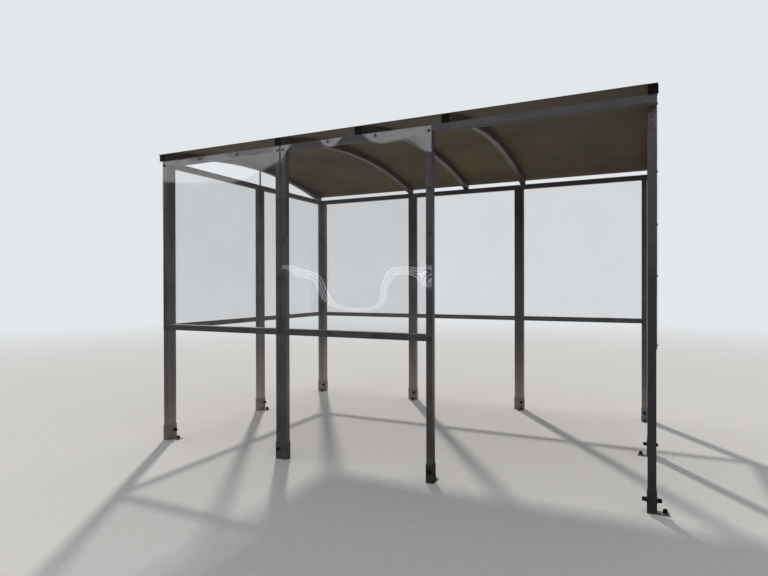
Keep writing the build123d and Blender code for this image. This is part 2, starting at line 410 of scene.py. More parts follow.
# and lying thick on what faces up
facing_up = add_node(
    tree, "SeparateXYZ", {"Vector": add_node(tree, "NewGeometry").outputs["Normal"]}
)
lying = add_node(
    tree, "MapRange",
    {"Value": facing_up.outputs["Z"], "From Min": 0.4, "From Max": 0.9, "To Max": 0.85},
)
dust = add_node(
    tree, "Math", {0: dust.outputs["Value"], 1: lying.outputs["Result"]}, operation="MAXIMUM"
)
layered_colour = add_node(
    tree, "Mix",
    {0: dust.outputs["Value"], 6: feet_shade_colour.outputs[2], 7: linear("#8C847A")},
    data_type="RGBA",
)
bare = add_node(tree, "MapRange", {"Value": dust.outputs["Value"], "To Min": 0.5, "To Max": 0.05})
gloss = add_node(tree, "MapRange", {"Value": grey.outputs["Red"], "To Min": 0.42, "To Max": 0.56})
gloss = add_node(
    tree, "Math",
    {0: dust.outputs["Value"], 1: 0.4, 2: gloss.outputs["Result"]},
    operation="MULTIPLY_ADD",
)
bump = add_node(
    tree, "Bump", {"Height": clouds.outputs["Fac"], "Strength": 0.25, "Distance": 0.0006}
)
surface = add_node(
    tree, "BsdfPrincipled",
    {
        "Base Color": layered_colour.outputs[2], "Metallic": bare.outputs["Result"],
        "Roughness": gloss.outputs["Value"], "Normal": bump.outputs["Normal"],
    },
)
tree.links.new(surface.outputs["BSDF"], output.inputs["Surface"])


def dress(names, material):
    """Give each named node the one material."""
    for name in names:
        nodes[name].data.materials.clear()
        nodes[name].data.materials.append(material)


dress(("front_shoes", "side_shoes", "back_shoes"), zinc)

# Black moulded polyethylene: satin, a little chalky on top from sunlight
black, tree, output = new_material("black_moulded_plastic")
coords = add_node(tree, "TexCoord").outputs["Object"]
# moulding grain is about 0.2 mm and is drawn as coarse as 1.5 mm
grain = add_node(tree, "TexNoise", {"Vector": coords, "Scale": 650.0, "Detail": 3.0})
fade = add_node(tree, "TexNoise", {"Vector": coords, "Scale": 30.0, "Detail": 4.0})
tone = add_node(tree, "ValToRGB", {"Fac": fade.outputs["Fac"]})
tone.color_ramp.elements[0].color = linear("#070707")
tone.color_ramp.elements[1].color = linear("#131312")
gloss = add_node(tree, "MapRange", {"Value": fade.outputs["Fac"], "To Min": 0.5, "To Max": 0.72})
bump = add_node(
    tree, "Bump", {"Height": grain.outputs["Fac"], "Strength": 0.2, "Distance": 0.0003}
)
surface = add_node(
    tree, "BsdfPrincipled",
    {
        "Base Color": tone.outputs["Color"], "Roughness": gloss.outputs["Result"],
        "Normal": bump.outputs["Normal"], "IOR": 1.5, "Specular IOR Level": 0.28,
    },
)
tree.links.new(surface.outputs["BSDF"], output.inputs["Surface"])


def disc(vertices, radius, depth, middle):
    """A disc about the upright axis with its middle at a height, the blank of a small part."""
    deselect_all()
    bpy.ops.mesh.primitive_cylinder_add(
        vertices=vertices, radius=radius, depth=depth, location=(0, 0, middle)
    )
    blank = bpy.context.active_object
    bpy.ops.object.transform_apply(location=True, rotation=True, scale=True)
    return blank


def pick_top(thing):
    """Go into edit mode with only the faces selected that face up."""
    bpy.context.view_layer.objects.active = thing
    bpy.ops.object.mode_set(mode="EDIT")
    bpy.ops.mesh.select_mode(type="FACE")
    bpy.ops.mesh.select_all(action="DESELECT")
    bpy.ops.object.mode_set(mode="OBJECT")
    for face in thing.data.polygons:
        face.select = face.normal.z > 0.9
    bpy.ops.object.mode_set(mode="EDIT")


def raise_step(inwards, up):
    """Step the selected top face inwards, then up."""
    bpy.ops.mesh.inset(thickness=inwards, depth=0.0)
    bpy.ops.mesh.extrude_region_move(TRANSFORM_OT_translate={"value": (0, 0, up)})


def dome_step(inwards, up):
    """Shrink the selected top face inwards and lift it, as the next ring of a dome."""
    bpy.ops.mesh.inset(thickness=inwards, depth=up)


def soften(thing, width):
    """Round the sharp edges of a small part and shade it smooth."""
    bpy.ops.object.mode_set(mode="OBJECT")
    deselect_all()
    thing.select_set(True)
    bpy.context.view_layer.objects.active = thing
    bevel = thing.modifiers.new("edges", "BEVEL")
    bevel.width = width
    bevel.segments = 2
    bevel.limit_method = "ANGLE"
    bevel.angle_limit = math.radians(40)
    bpy.ops.object.modifier_apply(modifier=bevel.name)
    bpy.ops.object.shade_smooth_by_angle(angle=math.radians(40))


def set_out(master, name, places):
    """Copies of one small part, each turned to its face and moved to its place, as one
    piece."""
    copies = []
    for place, outward in places:
        twin = master.copy()
        twin.data = master.data.copy()
        bpy.context.scene.collection.objects.link(twin)
        turn = Vector((0, 0, 1)).rotation_difference(Vector(outward)).to_matrix().to_4x4()
        twin.data.transform(Matrix.Translation(place) @ turn)
        copies.append(twin)
    deselect_all()
    for twin in copies:
        twin.select_set(True)
    bpy.context.view_layer.objects.active = copies[0]
    if len(copies) > 1:
        bpy.ops.object.join()
    piece = bpy.context.view_layer.objects.active
    piece.name = name
    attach(piece, "root")
    return piece


def moulded_cap(barrel):
    """A bolt cap: a 24 mm flange 2 mm thick, then a 22 mm barrel and a domed top 4 mm tall."""
    cap = disc(28, 0.012, 0.002, 0.001)
    pick_top(cap)
    raise_step(0.0010, barrel)
    for inwards, up in ((0.0014, 0.0021), (0.0032, 0.0013), (0.0034, 0.0006)):
        dome_step(inwards, up)
    soften(cap, 0.0005)
    cap.data.materials.append(black)
    return cap


# the nut ends wear caps with a tall barrel, the head ends with a low one
TALL_BARREL = 0.0140
LOW_BARREL = 0.0055
tall_cap = moulded_cap(TALL_BARREL)
low_cap = moulded_cap(LOW_BARREL)

# washer: zinc plated, 29 mm across, under each tall cap
WASHER = 0.0025
washer = disc(28, 0.0145, WASHER, WASHER / 2)
pick_top(washer)
dome_step(0.0006, 0.0003)
soften(washer, 0.0004)
washer.data.materials.append(zinc)

# through bolts, 67 mm up, through the sleeve and the post; the entrance post's is lower
BOLT_HEIGHT = 0.067
ENTRANCE_BOLT_HEIGHT = 0.062
SLEEVE_WALL = 0.003

heads, nuts, washers = [], [], []
# each bolted post, the axis its bolt runs along, and the way its head points (0: a nut at
# each end)
for post, axis, head in (
    ("left_post_1", 0, -1),
    ("left_post_3", 0, -1),
    ("right_post_1", 0, 0),
    ("right_post_3", 0, 0),
    ("front_post_2", 1, -1),
    ("front_post_4", 1, -1),
    ("back_post_1", 1, 1),
    ("back_post_3", 1, 1),
    ("back_post_5", 1, 1),
    ("back_post_6", 1, 1),
):
    low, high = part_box(post)
    up = ENTRANCE_BOLT_HEIGHT if post == "right_post_1" else BOLT_HEIGHT
    for side in (-1, 1):
        spot = Vector(((low[0] + high[0]) / 2, (low[1] + high[1]) / 2, up))
        outward = Vector((0, 0, 0))
        outward[axis] = side
        spot[axis] = (high[axis] if side > 0 else low[axis]) + side * SLEEVE_WALL
        if side == head:
            heads.append((spot, outward))
        else:
            washers.append((spot, outward))
            nuts.append((spot + outward * WASHER, outward))
set_out(low_cap, "through_bolt_head_caps", heads)
set_out(tall_cap, "through_bolt_nut_caps", nuts)
set_out(washer, "through_bolt_washers", washers)

SHOE_PLATE = 0.004
mounts = frame["record"]["mounts"]
anchors = [mount["pos_m"] for mount in mounts if mount["name"].startswith("anchor")]
upward = (0, 0, 1)
over_washers = [((x, y, SHOE_PLATE + WASHER), upward) for x, y, z in anchors]
set_out(tall_cap, "anchor_bolt_caps", over_washers)
on_plates = [((x, y, SHOE_PLATE), upward) for x, y, z in anchors]
set_out(washer, "anchor_washers", on_plates)

# ---------------------------------------------------------------------------
# Posts and rails
# Square tube, 40 mm over the flats, extruded in aluminium and left as it comes off the
# press. Each panel is two posts and a mid rail; the top rails tie the panels together.
# ---------------------------------------------------------------------------
def mill_aluminium(name, lengthwise, sheen, roughness, painted_shade_below):
    """Mill finish aluminium extrusion: soft grey, faint die lines along it, dulled by weather.
    Its metal sheen and roughness are those of a dull tube out in the rain or of a drier one,
    and its underside is painted darker with more or less painted shade."""
    material, tree, output = new_material(name)
    coords = add_node(tree, "TexCoord").outputs["Object"]
    # die lines are 0.2 mm apart and are drawn 3 mm apart, run over about a metre
    across, along = 330.0, 1.1
    stretch = [across, across, across]
    stretch["XYZ".index(lengthwise)] = along
    drawn = add_node(tree, "Mapping", {"Vector": coords, "Scale": stretch})
    die_lines = add_node(
        tree, "TexNoise",
        {"Vector": drawn.outputs["Vector"], "Scale": 1.0, "Detail": 3.0, "Roughness": 0.6},
    )
    clouds = add_node(
        tree, "TexNoise", {"Vector": coords, "Scale": 5.5, "Detail": 6.0, "Roughness": 0.62}
    )
    tone = add_node(tree, "ValToRGB", {"Fac": clouds.outputs["Fac"]})
    tone.color_ramp.elements[0].position = 0.3
    tone.color_ramp.elements[0].color = linear("#625F61")
    tone.color_ramp.elements[1].position = 0.7
    tone.color_ramp.elements[1].color = linear("#7A7779")
    lined = add_node(
        tree, "Mix",
        {0: 0.35, 6: tone.outputs["Color"], 7: die_lines.outputs["Color"]},
        data_type="RGBA", blend_type="SOFT_LIGHT",
    )
    # white oxide bloom in patches of about 26 mm
    bloom = add_node(
        tree, "TexNoise", {"Vector": coords, "Scale": 38.0, "Detail": 8.0, "Roughness": 0.7}
    )
    bloom_share = add_node(
        tree, "MapRange",
        {"Value": bloom.outputs["Fac"], "From Min": 0.55, "From Max": 0.8, "To Max": 0.35},
    )
    bloomed = add_node(
        tree, "Mix",
        {0: bloom_share.outputs["Result"], 6: lined.outputs[2], 7: linear("#97948F")},
        data_type="RGBA",
    )
    # paler on the lowest 600 mm, most at the back and none by the entrance: partly dust and rain
    # splash, partly painted light from the sunlit floor
    place = add_node(tree, "SeparateXYZ", {"Vector": coords})
    low = add_node(
        tree, "MapRange",
        {
            "Value": place.outputs["Z"], "From Min": 0.1, "From Max": 0.6, "To Min": 1.0,
            "To Max": 0.0,
        },
    )
    side = add_node(
        tree, "Math",
        {0: place.outputs["X"], 1: SUNWARD, 2: place.outputs["Y"]},
        operation="MULTIPLY_ADD",
    )
    dusty_sunlit_side = add_node(
        tree, "MapRange", {"Value": side.outputs["Value"], "From Min": -1.4, "From Max": 0.4}
    )
    dust = add_node(
        tree, "Math", {0: low.outputs["Result"], 1: dusty_sunlit_side.outputs["Result"]}, operation="MULTIPLY"
    )
    dust = add_node(
        tree, "Math", {0: dust.outputs["Value"], 1: bloom.outputs["Fac"]}, operation="MULTIPLY"
    )
    layered_colour = add_node(
        tree, "Mix",
        {0: dust.outputs["Value"], 6: bloomed.outputs[2], 7: linear("#9A9188")},
        data_type="RGBA",
    )
    # painted shade: the post at the end of the entrance is painted darker up to head height
    entrance_post_shade = add_node(
        tree, "MapRange",
        {
            "Value": side.outputs["Value"], "From Min": -1.8, "From Max": -1.4, "To Min": 0.4,
            "To Max": 0.0,
        },
    )
    reach = add_node(
        tree, "MapRange",
        {
            "Value": place.outputs["Z"], "From Min": 1.1, "From Max": 1.6, "To Min": 1.0,
            "To Max": 0.0,
        },
    )
    painted_post_shade = add_node(
        tree, "Math",
        {0: entrance_post_shade.outputs["Result"], 1: reach.outputs["Result"]},
        operation="MULTIPLY",
    )
    layered_colour = add_node(
        tree, "Mix",
        {0: painted_post_shade.outputs["Value"], 6: layered_colour.outputs[2], 7: linear("#2A2929")},
        data_type="RGBA",
    )
    # what faces up is paler: partly pale dust lying on it, partly a painted highlight of the light
    # on top faces
    flat = add_node(tree, "NewGeometry")
    facing_up = add_node(tree, "SeparateXYZ", {"Vector": flat.outputs["Normal"]})
    lying = add_node(
        tree, "MapRange",
        {"Value": facing_up.outputs["Z"], "From Min": 0.6, "From Max": 0.95, "To Max": 0.85},
    )
    layered_colour = add_node(
        tree, "Mix",
        {0: lying.outputs["Result"], 6: layered_colour.outputs[2], 7: linear("#C6BFB4")},
        data_type="RGBA",
    )
    # painted shade: what faces down is painted darker
    underside_shade = add_node(
        tree, "MapRange",
        {
            "Value": facing_up.outputs["Z"], "From Min": -0.95, "From Max": -0.6,
            "To Min": painted_shade_below, "To Max": 0.0,
        },
    )
    layered_colour = add_node(
        tree, "Mix",
        {0: underside_shade.outputs["Result"], 6: layered_colour.outputs[2], 7: linear("#2A2929")},
        data_type="RGBA",
    )
    # corners rubbed brighter
    rounded = add_node(tree, "Bevel", {"Radius": 0.003}, samples=4)
    along_edge = add_node(
        tree, "VectorMath",
        {0: rounded.outputs["Normal"], 1: flat.outputs["True Normal"]},
        operation="DOT_PRODUCT",
    )
    edge = add_node(
        tree, "MapRange",
        {"Value": along_edge.outputs["Value"], "From Min": 0.98, "From Max": 0.85, "To Max": 0.4},
    )
    worn = add_node(
        tree, "Mix",
        {0: edge.outputs["Result"], 6: layered_colour.outputs[2], 7: linear("#A5A3A4")},
        data_type="RGBA",
    )
    gloss = add_node(
        tree, "MapRange",
        {
            "Value": die_lines.outputs["Fac"], "From Min": 0.3, "From Max": 0.7,
            "To Min": roughness, "To Max": roughness + 0.18,
        },
    )
    bump = add_node(
        tree, "Bump", {"Height": die_lines.outputs["Fac"], "Strength": 0.35, "Distance": 0.0004}
    )
    bare = add_node(
        tree, "MapRange", {"Value": lying.outputs["Result"], "To Min": sheen, "To Max": 0.0}
    )
    surface = add_node(
        tree, "BsdfPrincipled",
        {
            "Base Color": worn.outputs[2], "Metallic": bare.outputs["Result"],
            "Roughness": gloss.outputs["Result"], "Normal": bump.outputs["Normal"],
        },
    )
    tree.links.new(surface.outputs["BSDF"], output.inputs["Surface"])
    return material


aluminium_upright = mill_aluminium(
    "mill_aluminium_upright", "Z", sheen=0.45, roughness=0.40, painted_shade_below=0.0
)
aluminium_along = mill_aluminium(
    "mill_aluminium_along", "X", sheen=0.25, roughness=0.50, painted_shade_below=0.6
)
aluminium_across = mill_aluminium(
    "mill_aluminium_across", "Y", sheen=0.25, roughness=0.50, painted_shade_below=0.0
)

dress([name for name in nodes if "_post_" in name], aluminium_upright)
dress(("front_top_rail", "back_top_rail", "front_mid_rails", "back_mid_rails"), aluminium_along)
dress(("left_top_rail", "right_top_rail", "left_mid_rails", "right_mid_rails"), aluminium_across)
dress(("front_rail_plugs",), black)

# ---------------------------------------------------------------------------
# Bracket at the entrance
# A folded strip of zinc plated steel carries the front rail on the post that stands back
# from the front line. Two hexagon head screws hold its upright leg.
# ---------------------------------------------------------------------------
# Zinc plated like the feet, but cleaner and so a shade paler
clean_zinc = zinc.copy()
clean_zinc.name = "clean_zinc_plated_steel"
tone = clean_zinc.node_tree.nodes["zinc_tone"]
tone.color_ramp.elements[0].color = linear("#726F6D")
tone.color_ramp.elements[1].color = linear("#928E8A")
dress(("entrance_bracket",), clean_zinc)

# hexagon head screw with a flange, 8 mm across the flats
flange = disc(24, 0.0065, 0.0012, 0.0006)
hexagon_screw = disc(6, 0.0046, 0.0042, 0.0033)
pick_top(hexagon_screw)
dome_step(0.0012, 0.0005)
bpy.ops.object.mode_set(mode="OBJECT")
flange.select_set(True)
hexagon_screw.select_set(True)
bpy.ops.object.join()
soften(hexagon_screw, 0.0003)
hexagon_screw.data.materials.append(zinc)

bracket_low, bracket_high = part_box("entrance_bracket")
bracket_middle = (bracket_low[0] + bracket_high[0]) / 2
BRACKET_PLATE = 0.003
BRACKET_SCREW_HEIGHTS = (1.958, 1.920)
leg_face = bracket_high[1] - BRACKET_PLATE
set_out(
    hexagon_screw, "bracket_screws",
    [((bracket_middle, leg_face, up), (0, -1, 0)) for up in BRACKET_SCREW_HEIGHTS],
)

# ---------------------------------------------------------------------------
# Clear side sheets
# Clear extruded copolyester sheet, 3 mm thick, screwed to the outer face of each panel
# from the mid rail up. It has crept and warped between its screws, which shows as wavy
# reflections. The cut edges are sawn and look grey.
# ---------------------------------------------------------------------------
def clear_copolyester(name, finest, coarsest):
    """Clear copolyester: almost colourless, glossy, with a thin film of dust. Its gloss is as
    rough as its scuffs, from the finest to the coarsest."""
    material, tree, output = new_material(name)
    coords = add_node(tree, "TexCoord").outputs["Object"]
    facing = add_node(tree, "LayerWeight", {"Blend": 0.5}).outputs["Facing"]
    power = add_node(tree, "Math", {0: facing, 1: 5.0}, operation="POWER")
    share = add_node(
        tree, "Math", {0: power.outputs["Value"], 1: 0.95, 2: 0.05}, operation="MULTIPLY_ADD"
    )
    through = add_node(tree, "BsdfTransparent", {"Color": linear("#FCFCFC")})
    # fine scuffs, drawn 4 mm apart, open the gloss a little
    scuffs = add_node(tree, "TexNoise", {"Vector": coords, "Scale": 240.0, "Detail": 2.0})
    gloss = add_node(
        tree, "MapRange",
        {
            "Value": scuffs.outputs["Fac"], "From Min": 0.35, "From Max": 0.7, "To Min": finest,
            "To Max": coarsest,
        },
    )
    mirror = add_node(
        tree, "BsdfGlossy", {"Color": (1, 1, 1, 1), "Roughness": gloss.outputs["Result"]}
    )
    clean = add_node(
        tree, "MixShader",
        {0: share.outputs["Value"], 1: through.outputs["BSDF"], 2: mirror.outputs["BSDF"]},
    )
    film = add_node(
        tree, "TexNoise", {"Vector": coords, "Scale": 4.0, "Detail": 7.0, "Roughness": 0.65}
    )
    film_share = add_node(
        tree, "MapRange",
        {
            "Value": film.outputs["Fac"], "From Min": 0.4, "From Max": 0.75, "To Min": 0.003,
            "To Max": 0.022,
        },
    )
    dust_film = add_node(tree, "BsdfDiffuse", {"Color": linear("#C9C7C1")})
    filmed = add_node(
        tree, "MixShader",
        {
            0: film_share.outputs["Result"], 1: clean.outputs["Shader"],
            2: dust_film.outputs["BSDF"],
        },
    )
    tree.links.new(filmed.outputs["Shader"], output.inputs["Surface"])
    return material


clear = clear_copolyester("clear_copolyester_sheet", finest=0.0, coarsest=0.022)
# the back and end sheets are scuffed duller than those at the front
scuffed_clear = clear_copolyester("scuffed_copolyester_sheet", finest=0.14, coarsest=0.19)

# Its sawn edge: frosted and a shade darker
sawn, tree, output = new_material("sawn_copolyester_edge")
coords = add_node(tree, "TexCoord").outputs["Object"]
marks = add_node(tree, "TexNoise", {"Vector": coords, "Scale": 420.0, "Detail": 3.0})
tone = add_node(tree, "ValToRGB", {"Fac": marks.outputs["Fac"]})
tone.color_ramp.elements[0].color = linear("#6F7271")
tone.color_ramp.elements[1].color = linear("#A4A7A6")
frosted = add_node(
    tree, "BsdfPrincipled", {"Base Color": tone.outputs["Color"], "Roughness": 0.45, "IOR": 1.57}
)
see = add_node(tree, "BsdfTransparent", {"Color": linear("#C9CBCA")})
edge_mix = add_node(
    tree, "MixShader", {0: 0.6, 1: see.outputs["BSDF"], 2: frosted.outputs["BSDF"]}
)
tree.links.new(edge_mix.outputs["Shader"], output.inputs["Surface"])

SHEET_THICKNESS = 0.003
SHEET_LOW, SHEET_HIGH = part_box("front_clear_sheets")[0][2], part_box("front_clear_sheets")[1][2]
# screw heights: along the top, at the top corners of the front, along the bottom, and down
# each side between them
SCREW_TOP = 2.023
SCREW_CORNER = 2.011
SCREW_MID = 0.830
SCREW_COLUMN = (1.689, 1.428, 1.174)
# pushes are written in tenths of a millimetre
TENTH = 10000


def clear_sheet(name, width, height_rows, dimples, cell, place, face):
    """One warped sheet: a flat grid of cells of one size, pushed outwards by a cage, drawn in
    at its screws, then given its thickness. height_rows are the cage's pushes, lowest row
    first. Each dimple has its place along and up the sheet, its push and its reach."""
    height = SHEET_HIGH - SHEET_LOW
    to_middle = (width / 2, 0, SHEET_LOW + height / 2)
    deselect_all()
    bpy.ops.mesh.primitive_grid_add(
        x_subdivisions=round(width / cell), y_subdivisions=round(height / cell), size=1.0,
        rotation=(math.pi / 2, 0, 0),
    )
    sheet = bpy.context.active_object
    sheet.name = name
    bpy.ops.object.transform_apply(location=True, rotation=True, scale=True)
    sheet.data.transform(Matrix.Translation(to_middle) @ Matrix.Diagonal((width, 1, height, 1)))
    cage_data = bpy.data.lattices.new(name + "_cage")
    cage_data.points_u = len(height_rows[0])
    cage_data.points_v = 1
    cage_data.points_w = len(height_rows)
    for kind in ("interpolation_type_u", "interpolation_type_v", "interpolation_type_w"):
        setattr(cage_data, kind, "KEY_BSPLINE")
    for row, pushes in enumerate(height_rows):
        for column, push in enumerate(pushes):
            point = cage_data.points[row * len(pushes) + column]
            point.co_deform = point.co + Vector((0, -push / TENTH, 0))
    cage = bpy.data.objects.new(name + "_cage", cage_data)
    bpy.context.scene.collection.objects.link(cage)
    cage.location = to_middle
    cage.scale = (width / (len(height_rows[0]) - 1), 1, height / (len(height_rows) - 1))
    bpy.context.view_layer.update()
    bend = sheet.modifiers.new("warp", "LATTICE")
    bend.object = cage
    bpy.ops.object.modifier_apply(modifier=bend.name)
    bpy.data.objects.remove(cage)
    # drawn in round each screw
    for vertex in sheet.data.vertices:
        for along, up, push, reach in dimples:
            out = math.hypot(vertex.co.x - along, vertex.co.z - up) / reach
            if out < 1.0:
                vertex.co.y -= push / TENTH * (3 * (1 - out) ** 2 - 2 * (1 - out) ** 3)
    sheet.data.transform(place)
    sheet.data.update()
    wall = sheet.modifiers.new("thickness", "SOLIDIFY")
    wall.thickness = SHEET_THICKNESS
    wall.offset = -1.0
    wall.material_offset_rim = 1
    sheet.data.materials.append(face)
    sheet.data.materials.append(sawn)
    deselect_all()
    sheet.select_set(True)
    bpy.context.view_layer.objects.active = sheet
    bpy.ops.object.modifier_apply(modifier=wall.name)
    bpy.ops.object.shade_smooth_by_angle(angle=math.radians(35))
    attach(sheet, "root")
    return sheet


# screw places along each front panel, from its start; its sheet starts 3 mm further in
SCREWS_ALONG = (0.020, 0.359, 0.690, 1.030)
SHEET_INSET = 0.003
SHEET_COLUMNS = (0.017, 1.027)
# how far from its middle a screw draws the sheet in
REACH = 0.085
NARROW_REACH = 0.060
FINE_CELL = 0.0085
front_one_rows = (
    (8, 6, 5, 6, 6, 6, 6, 5, 6, 8),
    (6, 5, 5, 5, 5, 4, 4, 3, 4, 5),
    (5, 5, 5, 5, 4, 3, 2, 2, 3, 5),
    (6, 5, 4, 5, 4, 2, 1, 1, 3, 6),
    (6, 3, 0, -1, -1, -1, -1, 0, 3, 7),
    (5, -1, -6, -9, -8, -5, -1, 2, 5, 7),
    (3, 4, 4, 3, 4, 8, 11, 11, 8, 5),
    (9, 23, 32, 35, 35, 40, 38, 26, 14, 3),
    (39, 59, 75, 86, 85, 85, 66, 40, 20, 5),
    (82, 84, 72, 56, 53, 57, 48, 30, 22, 11),
    (32, 31, 20, 9, 15, 16, 5, 2, 5, 10),
    (-4, -7, -5, -1, -4, -2, -11, -15, -10, 7),
)
front_two_rows = (
    (13, 7, 3, 2, 4, 14, 27, 27, 14, 3, 2, 3, 6, 12),
    (2, 0, 0, 6, 19, 37, 49, 54, 46, 28, 6, -3, 0, 6),
    (-4, -4, -3, 6, 27, 42, 40, 41, 47, 35, -1, -9, -4, 2),
    (-4, -4, -3, -2, 11, 5, 0, -5, 0, 6, -10, -8, -1, 6),
    (4, 1, 3, -1, -9, -17, -23, -27, -28, -15, -4, -1, 5, 13),
    (13, 8, 4, 3, -20, -30, -32, -33, -34, -30, 0, 9, 4, 1),
    (14, 12, 4, -8, -24, -31, -33, -34, -37, -30, 0, 8, 5, -1),
    (12, 8, 2, -7, -18, -27, -30, -31, -31, -24, -6, 3, 6, 6),
    (9, 5, 1, -4, -9, -14, -17, -17, -16, -12, -5, 1, 6, 11),
    (8, 4, 0, -3, -5, -7, -8, -9, -8, -7, -5, -1, 5, 12),
    (10, 3, -3, -7, -8, -8, -9, -10, -11, -11, -9, -5, 3, 12),
    (12, -2, -12, -17, -18, -17, -18, -20, -21, -20, -17, -13, -3, 8),
    (13, -11, -24, -28, -28, -28, -26, -30, -30, -28, -23, -20, -10, 3),
    (16, -14, -29, -34, -30, -32, -24, -27, -27, -26, -17, -15, 2, 21),
    (9, 3, -15, -32, -1, 1, -15, -20, -2, -6, 1, 12, 16, 16),
    (-8, 22, 54, 60, -3, 1, 30, 45, 6, 2, 13, 27, 18, 3),
)
front_low, front_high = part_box("front_clear_sheets")
FRONT_FACE = front_low[1]
front_one_x = front_low[0]
front_one_width = 1.040
front_two_width = 1.044
front_two_x = front_high[0] - front_two_width
clear_sheet(
    "front_clear_sheet_1", front_one_width, front_one_rows,
    [(along - SHEET_INSET, SCREW_TOP, -2, REACH) for along in SCREWS_ALONG]
    + [(along - SHEET_INSET, SCREW_MID, -7, REACH) for along in SCREWS_ALONG]
    + [(SHEET_COLUMNS[0], up, -6, REACH) for up in SCREW_COLUMN]
    + [(SHEET_COLUMNS[1], up, -7, REACH) for up in SCREW_COLUMN],
    FINE_CELL, Matrix.Translation((front_one_x, FRONT_FACE, 0)), clear,
)
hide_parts("front_clear_sheets")
clear_sheet(
    "front_clear_sheet_2", front_two_width, front_two_rows,
    [
        (SHEET_COLUMNS[0], SCREW_CORNER, 2, REACH), (0.354, SCREW_TOP, 2, NARROW_REACH),
        (0.690, SCREW_TOP, 1, NARROW_REACH), (SHEET_COLUMNS[1], SCREW_CORNER, -10, REACH),
    ]
    + [
        (along - SHEET_INSET, SCREW_MID, push, REACH)
        for along, push in zip(SCREWS_ALONG, (-9, -13, -14, -9))
    ]
    + [(SHEET_COLUMNS[0], up, push, REACH) for up, push in zip(SCREW_COLUMN, (-8, -9, -7))]
    + [(SHEET_COLUMNS[1], up, push, REACH) for up, push in zip(SCREW_COLUMN, (-7, -8, -6))],
    FINE_CELL, Matrix.Translation((front_two_x, FRONT_FACE, 0)), clear,
)
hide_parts("front_clear_sheets")

# the other seven sheets warp gently, each its own way: an even bulge, uneven pushes on it,
# and the same small push all along the edges
EDGE_PUSH = 6
UNEVEN = 16
BULGE = 14
CAGE = range(8)
# the gap between two sheets of a side, and how far in from their edges the screws stand
SHEET_GAP = 0.007
EDGE_DISTANCE = 0.016
COARSE_CELL = 0.016
chance = random.Random(17)
other_sheets = []
for side, count in (("back", 3), ("left", 2), ("right", 2)):
    low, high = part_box(side + "_clear_sheets")
    axis = 0 if side == "back" else 1
    width = (high[axis] - low[axis] - (count - 1) * SHEET_GAP) / count
    for number in range(count):
        swell = [math.sin(math.pi * step / (len(CAGE) - 1)) for step in CAGE]
        rows = [
            [chance.uniform(0, UNEVEN) + BULGE * swell[r] * swell[c] for c in CAGE] for r in CAGE
        ]
        rows[0] = rows[-1] = [EDGE_PUSH for step in CAGE]
        for row in rows:
            row[0] = row[-1] = EDGE_PUSH
        start = low[axis] + number * (width + SHEET_GAP)
        # the corner that the sheet starts from, seen from outside, and its turn
        if side == "back":
            corner, turn = (start + width, high[1], 0), math.pi
        elif side == "left":
            corner, turn = (low[0], start + width, 0), -math.pi / 2
        else:
            corner, turn = (high[0], start, 0), math.pi / 2
        place = Matrix.Translation(corner) @ Matrix.Rotation(turn, 4, "Z")
        alongs = [EDGE_DISTANCE, width * 0.34, width * 0.66, width - EDGE_DISTANCE]
        screws = [(along, up) for along in alongs for up in (SCREW_TOP, SCREW_MID)]
        screws += [(along, up) for along in (alongs[0], alongs[-1]) for up in SCREW_COLUMN]
        dimples = [(along, up, -6, REACH) for along, up in screws]
        name = f"{side}_clear_sheet_{number + 1}"
        made = clear_sheet(name, width, rows, dimples, COARSE_CELL, place, scuffed_clear)
        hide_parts(side + "_clear_sheets")
        other_sheets.append((side, place, screws))

# Weathered rubber: matt, chalked to a bluish grey
rubber, tree, output = new_material("chalked_rubber")
coords = add_node(tree, "TexCoord").outputs["Object"]
chalk = add_node(tree, "TexNoise", {"Vector": coords, "Scale": 300.0, "Detail": 4.0})
tone = add_node(tree, "ValToRGB", {"Fac": chalk.outputs["Fac"]})
tone.color_ramp.elements[0].color = linear("#2E3033")
tone.color_ramp.elements[1].color = linear("#434548")
gloss = add_node(tree, "MapRange", {"Value": chalk.outputs["Fac"], "To Min": 0.7, "To Max": 0.9})
bump = add_node(
    tree, "Bump", {"Height": chalk.outputs["Fac"], "Strength": 0.3, "Distance": 0.0003}
)
surface = add_node(
    tree, "BsdfPrincipled",
    {
        "Base Color": tone.outputs["Color"], "Roughness": gloss.outputs["Result"],
        "Normal": bump.outputs["Normal"], "Specular IOR Level": 0.3,
    },
)
tree.links.new(surface.outputs["BSDF"], output.inputs["Surface"])

# sealing washer of 17 mm, and on it a button head screw of 9 mm with a socket
seal = disc(24, 0.0085, 0.0016, 0.0008)
pick_top(seal)
dome_step(0.0020, 0.0006)
soften(seal, 0.0004)
seal.data.materials.append(rubber)

button_screw = disc(18, 0.0045, 0.0012, 0.0027)
pick_top(button_screw)
dome_step(0.0010, 0.0008)
dome_step(0.0012, 0.0003)
bpy.ops.mesh.extrude_region_move(TRANSFORM_OT_translate={"value": (0, 0, -0.0012)})
soften(button_screw, 0.0002)
button_screw.data.materials.append(zinc)

PANEL_PITCH = 1.051
first_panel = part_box("front_post_1")[0][0]
front_screws = []
for panel_start in (first_panel, first_panel + PANEL_PITCH):
    for number, along in enumerate(SCREWS_ALONG):
        # the corner screws sit a little lower than those between
        at_corner = number in (0, 3)
        front_screws.append((panel_start + along, SCREW_CORNER if at_corner else SCREW_TOP))
        front_screws.append((panel_start + along, SCREW_MID))
    for along in (SCREWS_ALONG[0], SCREWS_ALONG[3]):
        front_screws += [(panel_start + along, up) for up in SCREW_COLUMN]

# a seal's rim for finding its seat, how deep it sits, and where the way in to it starts
SEAL_RIM = 0.007
SEAL_SUNK = 0.0004
STAND_OFF = 0.05


